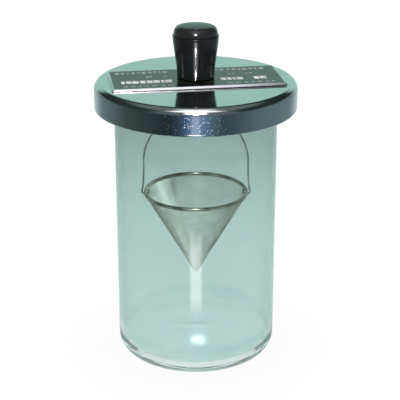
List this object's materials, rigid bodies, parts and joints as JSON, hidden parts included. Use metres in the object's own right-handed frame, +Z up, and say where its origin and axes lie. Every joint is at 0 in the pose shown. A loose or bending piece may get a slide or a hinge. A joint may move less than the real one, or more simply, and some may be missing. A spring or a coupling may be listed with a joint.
{
  "type": "disinfectant jar",
  "caption": "Straight-sided clear glass jar with a deep chromed lift-off lid, black knob, lid plate, and a wire-mesh cone basket hung from the lid by a wire bail.",
  "frame": {"origin": "centre of the jar's underside, on the plane it stands on", "axes": "+Z up along the jar's axis; front towards -Y; +X to the viewer's right"},
  "size_m": [0.127, 0.127, 0.2167],
  "materials": {
    "clear_glass": "polished",
    "lid_chrome": "polished",
    "seal_rubber": "milky silicone",
    "plate_dark": "gloss",
    "knob_black": "gloss",
    "cap_black": "gloss",
    "insert_brass": "turned",
    "hanger_steel": "plain",
    "washer_rubber": "matte",
    "bail_wire": "bright drawn wire",
    "rim_steel": "bright rolled rim",
    "mesh_steel": "fine woven wire"
  },
  "bodies": {
    "jar": {"glass_jar": "clear_glass"},
    "seal": {"lid_seal": "seal_rubber"},
    "lid": {"lid_cover": "lid_chrome", "name_plate": "plate_dark", "knob_body": "knob_black", "knob_cap": "cap_black", "knob_insert": "insert_brass", "hanger_hook": "hanger_steel", "hanger_nut": "hanger_steel", "hanger_washer": "hanger_steel", "stud_seal": "washer_rubber"},
    "bail": {"bail_handle": "bail_wire"},
    "basket": {"basket_rim": "rim_steel", "basket_mesh": "mesh_steel"}
  },
  "joints": [
    {"name": "lid_lift", "type": "slide", "parent": "jar", "child": "seal", "axis": [0, 0, 1], "range_m": [0, 0.14]},
    {"name": "lid_turn", "type": "hinge", "parent": "seal", "child": "lid", "pos_m": [0, 0, 0.182], "axis": [0, 0, 1], "continuous": true},
    {"name": "bail_swing", "type": "hinge", "parent": "lid", "child": "bail", "pos_m": [0, 0, 0.1615], "axis": [1, 0, 0], "range_deg": [-12, 12]},
    {"name": "basket_tilt", "type": "hinge", "parent": "bail", "child": "basket", "pos_m": [0, 0, 0.1085], "axis": [1, 0, 0], "range_deg": [-25, 25]}
  ]
}
